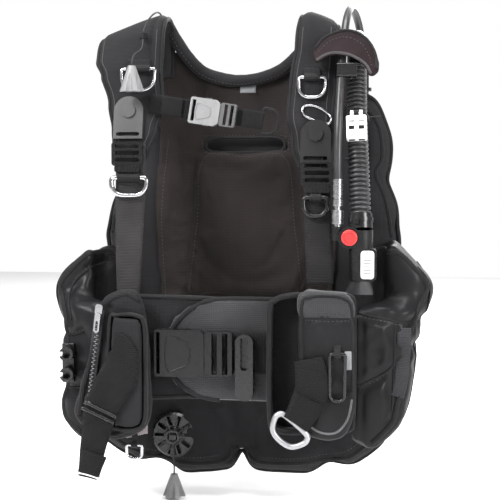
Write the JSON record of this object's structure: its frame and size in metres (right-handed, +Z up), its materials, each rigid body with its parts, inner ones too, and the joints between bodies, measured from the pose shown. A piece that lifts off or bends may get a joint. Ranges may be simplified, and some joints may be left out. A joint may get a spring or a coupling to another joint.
{
  "type": "buoyancy compensator vest",
  "caption": "Scuba diver's inflatable vest with a padded back, adjustable shoulder straps, belt, weight pouches, hose and hand inflator, and a cam band for one tank.",
  "frame": {"origin": "the tank's axis at the middle of the cam band", "axes": "+Z up along the tank, +Y behind the diver, +X to the diver's left, so the vest's front faces -Y"},
  "size_m": [0.4847, 0.4563, 0.6593],
  "materials": {
    "pack_cloth": "matt woven nylon",
    "panel_cloth": "matt woven nylon",
    "webbing": "ribbed webbing",
    "elastic": "knitted elastic",
    "plate_grey": "moulded nylon",
    "light_grey": "moulded nylon",
    "black_plastic": "moulded, semi gloss",
    "dark_plastic": "moulded, satin",
    "saddle_plastic": "moulded, satin",
    "hose_rubber": "satin",
    "sleeve_neoprene": "matt",
    "leather_look": "coated, glossy",
    "ring_steel": "polished",
    "brass_plated": "plated",
    "spring_steel": "drawn wire",
    "cord_black": "braided",
    "red_plastic": "moulded, gloss",
    "white_plastic": "moulded, gloss"
  },
  "bodies": {
    "vest": {"tank_band": "webbing", "back_plate": "saddle_plastic", "cam_buckle_frame": "black_plastic", "carry_handle": "webbing", "air_cell": "pack_cloth", "collar_roll": "pack_cloth", "back_panel": "panel_cloth", "shoulder_pads": "pack_cloth", "shoulder_straps": "webbing", "rotating_plates": "plate_grey", "ladder_adjusters": "dark_plastic", "chest_buckle_female": "light_grey", "chest_buckle_male": "light_grey", "waist_buckle_female": "dark_plastic", "waist_buckle_male": "dark_plastic", "chest_webbing": "webbing", "waist_webbing": "webbing", "hip_wings": "leather_look", "cummerbund": "pack_cloth", "cargo_pocket": "pack_cloth", "weight_holders": "pack_cloth", "hose_clip_hip": "black_plastic", "lower_dump_valve": "black_plastic", "springs": "spring_steel", "shoulder_dump_valve": "black_plastic", "shoulder_dump_cord": "cord_black", "corrugated_hose": "hose_rubber", "hose_clamps": "black_plastic", "inflator_body": "black_plastic", "mouthpiece": "hose_rubber", "inflator_hose": "hose_rubber", "hose_fittings": "brass_plated", "hose_sleeve": "sleeve_neoprene", "loops_and_keepers": "elastic"},
    "cam_lever": {"cam_lever": "black_plastic"},
    "upper_ring_right": {"upper_ring_right": "ring_steel"},
    "upper_ring_left": {"upper_ring_left": "ring_steel"},
    "lower_ring_right": {"lower_ring_right": "ring_steel"},
    "lower_ring_left": {"lower_ring_left": "black_plastic"},
    "pocket_ring": {"pocket_ring": "black_plastic"},
    "hip_ring": {"hip_ring": "ring_steel"},
    "chest_prong_upper": {"chest_prong_upper": "light_grey"},
    "chest_prong_lower": {"chest_prong_lower": "light_grey"},
    "waist_prong_upper": {"waist_prong_upper": "dark_plastic"},
    "waist_prong_lower": {"waist_prong_lower": "dark_plastic"},
    "whistle": {"whistle": "white_plastic"},
    "zipper_slider": {"zipper_slider": "ring_steel"},
    "inflate_button": {"inflate_button": "red_plastic"},
    "deflate_button": {"deflate_button": "white_plastic"},
    "coupling_collar": {"coupling_collar": "brass_plated"},
    "lower_dump_poppet": {"lower_dump_poppet": "dark_plastic"},
    "waist_slider": {"waist_slider": "black_plastic"},
    "weight_pouch_left": {"weight_pouch_left": "leather_look"},
    "weight_pouch_right": {"weight_pouch_right": "pack_cloth"},
    "pull_handle_left": {"pull_handle_left": "webbing"},
    "pull_handle_right": {"pull_handle_right": "webbing"},
    "lower_dump_pull": {"lower_dump_knob": "light_grey", "lower_dump_cord": "cord_black"},
    "shoulder_dump_pull": {"shoulder_dump_knob": "light_grey", "shoulder_pull_cord": "cord_black"}
  },
  "joints": [
    {"name": "cam_lever_turn", "type": "hinge", "parent": "vest", "child": "cam_lever", "pos_m": [-0.022, 0.107, 0], "axis": [0, 0, 1], "range_deg": [0, 110]},
    {"name": "upper_ring_right_swing", "type": "hinge", "parent": "vest", "child": "upper_ring_right", "pos_m": [-0.125, -0.23564, 0.232], "axis": [-1, 0, 0], "range_deg": [0, 8]},
    {"name": "upper_ring_left_swing", "type": "hinge", "parent": "vest", "child": "upper_ring_left", "pos_m": [0.097, -0.23728, 0.219], "axis": [-1, 0, 0], "range_deg": [0, 100]},
    {"name": "lower_ring_right_swing", "type": "hinge", "parent": "vest", "child": "lower_ring_right", "pos_m": [-0.131, -0.26488, 0.094], "axis": [-1, 0, 0], "range_deg": [0, 100]},
    {"name": "lower_ring_left_swing", "type": "hinge", "parent": "vest", "child": "lower_ring_left", "pos_m": [0.104, -0.26577, 0.07], "axis": [-1, 0, 0], "range_deg": [0, 100]},
    {"name": "pocket_ring_swing", "type": "hinge", "parent": "weight_pouch_left", "child": "pocket_ring", "pos_m": [0.137, -0.3391, -0.112], "axis": [-1, 0, 0], "range_deg": [0, 100]},
    {"name": "hip_ring_swing", "type": "hinge", "parent": "vest", "child": "hip_ring", "pos_m": [-0.116, -0.3072, -0.236], "axis": [-1, 0, 0], "range_deg": [0, 100]},
    {"name": "chest_prong_upper_squeeze", "type": "hinge", "parent": "vest", "child": "chest_prong_upper", "pos_m": [-0.01875, -0.254, 0.18289], "axis": [0, -1, 0], "range_deg": [0, 5], "stiffness_Nm_per_rad": 2},
    {"name": "chest_prong_lower_squeeze", "type": "hinge", "parent": "vest", "child": "chest_prong_lower", "pos_m": [-0.02157, -0.254, 0.16511], "axis": [0, 1, 0], "range_deg": [0, 5], "stiffness_Nm_per_rad": 2},
    {"name": "waist_prong_upper_squeeze", "type": "hinge", "parent": "vest", "child": "waist_prong_upper", "pos_m": [-0.0312, -0.3034, -0.0985], "axis": [0, -1, 0], "range_deg": [0, 5], "stiffness_Nm_per_rad": 4},
    {"name": "waist_prong_lower_squeeze", "type": "hinge", "parent": "vest", "child": "waist_prong_lower", "pos_m": [-0.0312, -0.3034, -0.1415], "axis": [0, 1, 0], "range_deg": [0, 5], "stiffness_Nm_per_rad": 4},
    {"name": "whistle_swing", "type": "hinge", "parent": "vest", "child": "whistle", "pos_m": [0.1532, -0.25662, 0.17327], "axis": [-1, 0, 0], "range_deg": [0, 60]},
    {"name": "zipper_slide", "type": "slide", "parent": "vest", "child": "zipper_slider", "axis": [-0.1261, 0, -0.992], "range_m": [0, 0.1]},
    {"name": "inflate_press", "type": "slide", "parent": "vest", "child": "inflate_button", "axis": [0, 1, 0], "range_m": [0, 0.003], "stiffness_N_per_m": 800},
    {"name": "deflate_press", "type": "slide", "parent": "vest", "child": "deflate_button", "axis": [0, 1, 0], "range_m": [0, 0.003], "stiffness_N_per_m": 800},
    {"name": "coupling_collar_slide", "type": "slide", "parent": "vest", "child": "coupling_collar", "axis": [0, 0, 1], "range_m": [0, 0.004], "stiffness_N_per_m": 1200},
    {"name": "lower_dump_pull_slide", "type": "slide", "parent": "vest", "child": "lower_dump_pull", "axis": [0, 0, -1], "range_m": [0, 0.008], "stiffness_N_per_m": 600},
    {"name": "lower_dump_open", "type": "slide", "parent": "vest", "child": "lower_dump_poppet", "axis": [0, -1, 0], "range_m": [0, 0.0025], "stiffness_N_per_m": 600, "deforming": ["springs"]},
    {"name": "shoulder_dump_pull_slide", "type": "slide", "parent": "vest", "child": "shoulder_dump_pull", "axis": [0, 0, -1], "range_m": [0, 0.008], "stiffness_N_per_m": 600},
    {"name": "waist_slider_slide", "type": "slide", "parent": "vest", "child": "waist_slider", "axis": [1, 0, 0], "range_m": [0, 0.015]},
    {"name": "pouch_left_out", "type": "slide", "parent": "vest", "child": "weight_pouch_left", "axis": [0, -1, 0], "range_m": [0, 0.12]},
    {"name": "pouch_right_out", "type": "slide", "parent": "vest", "child": "weight_pouch_right", "axis": [0, -1, 0], "range_m": [0, 0.06]},
    {"name": "pull_handle_left_swing", "type": "hinge", "parent": "weight_pouch_left", "child": "pull_handle_left", "pos_m": [0.103, -0.3372, -0.118], "axis": [-1, 0, 0], "range_deg": [0, 80]},
    {"name": "pull_handle_right_swing", "type": "hinge", "parent": "weight_pouch_right", "child": "pull_handle_right", "pos_m": [-0.128, -0.3372, -0.093], "axis": [-1, 0, 0], "range_deg": [0, 80]}
  ],
  "couplings": [
    {"joint": "chest_prong_lower_squeeze", "follows": "chest_prong_upper_squeeze", "ratio": 1},
    {"joint": "waist_prong_lower_squeeze", "follows": "waist_prong_upper_squeeze", "ratio": 1},
    {"joint": "lower_dump_open", "follows": "lower_dump_pull_slide", "ratio": 0.3125}
  ]
}
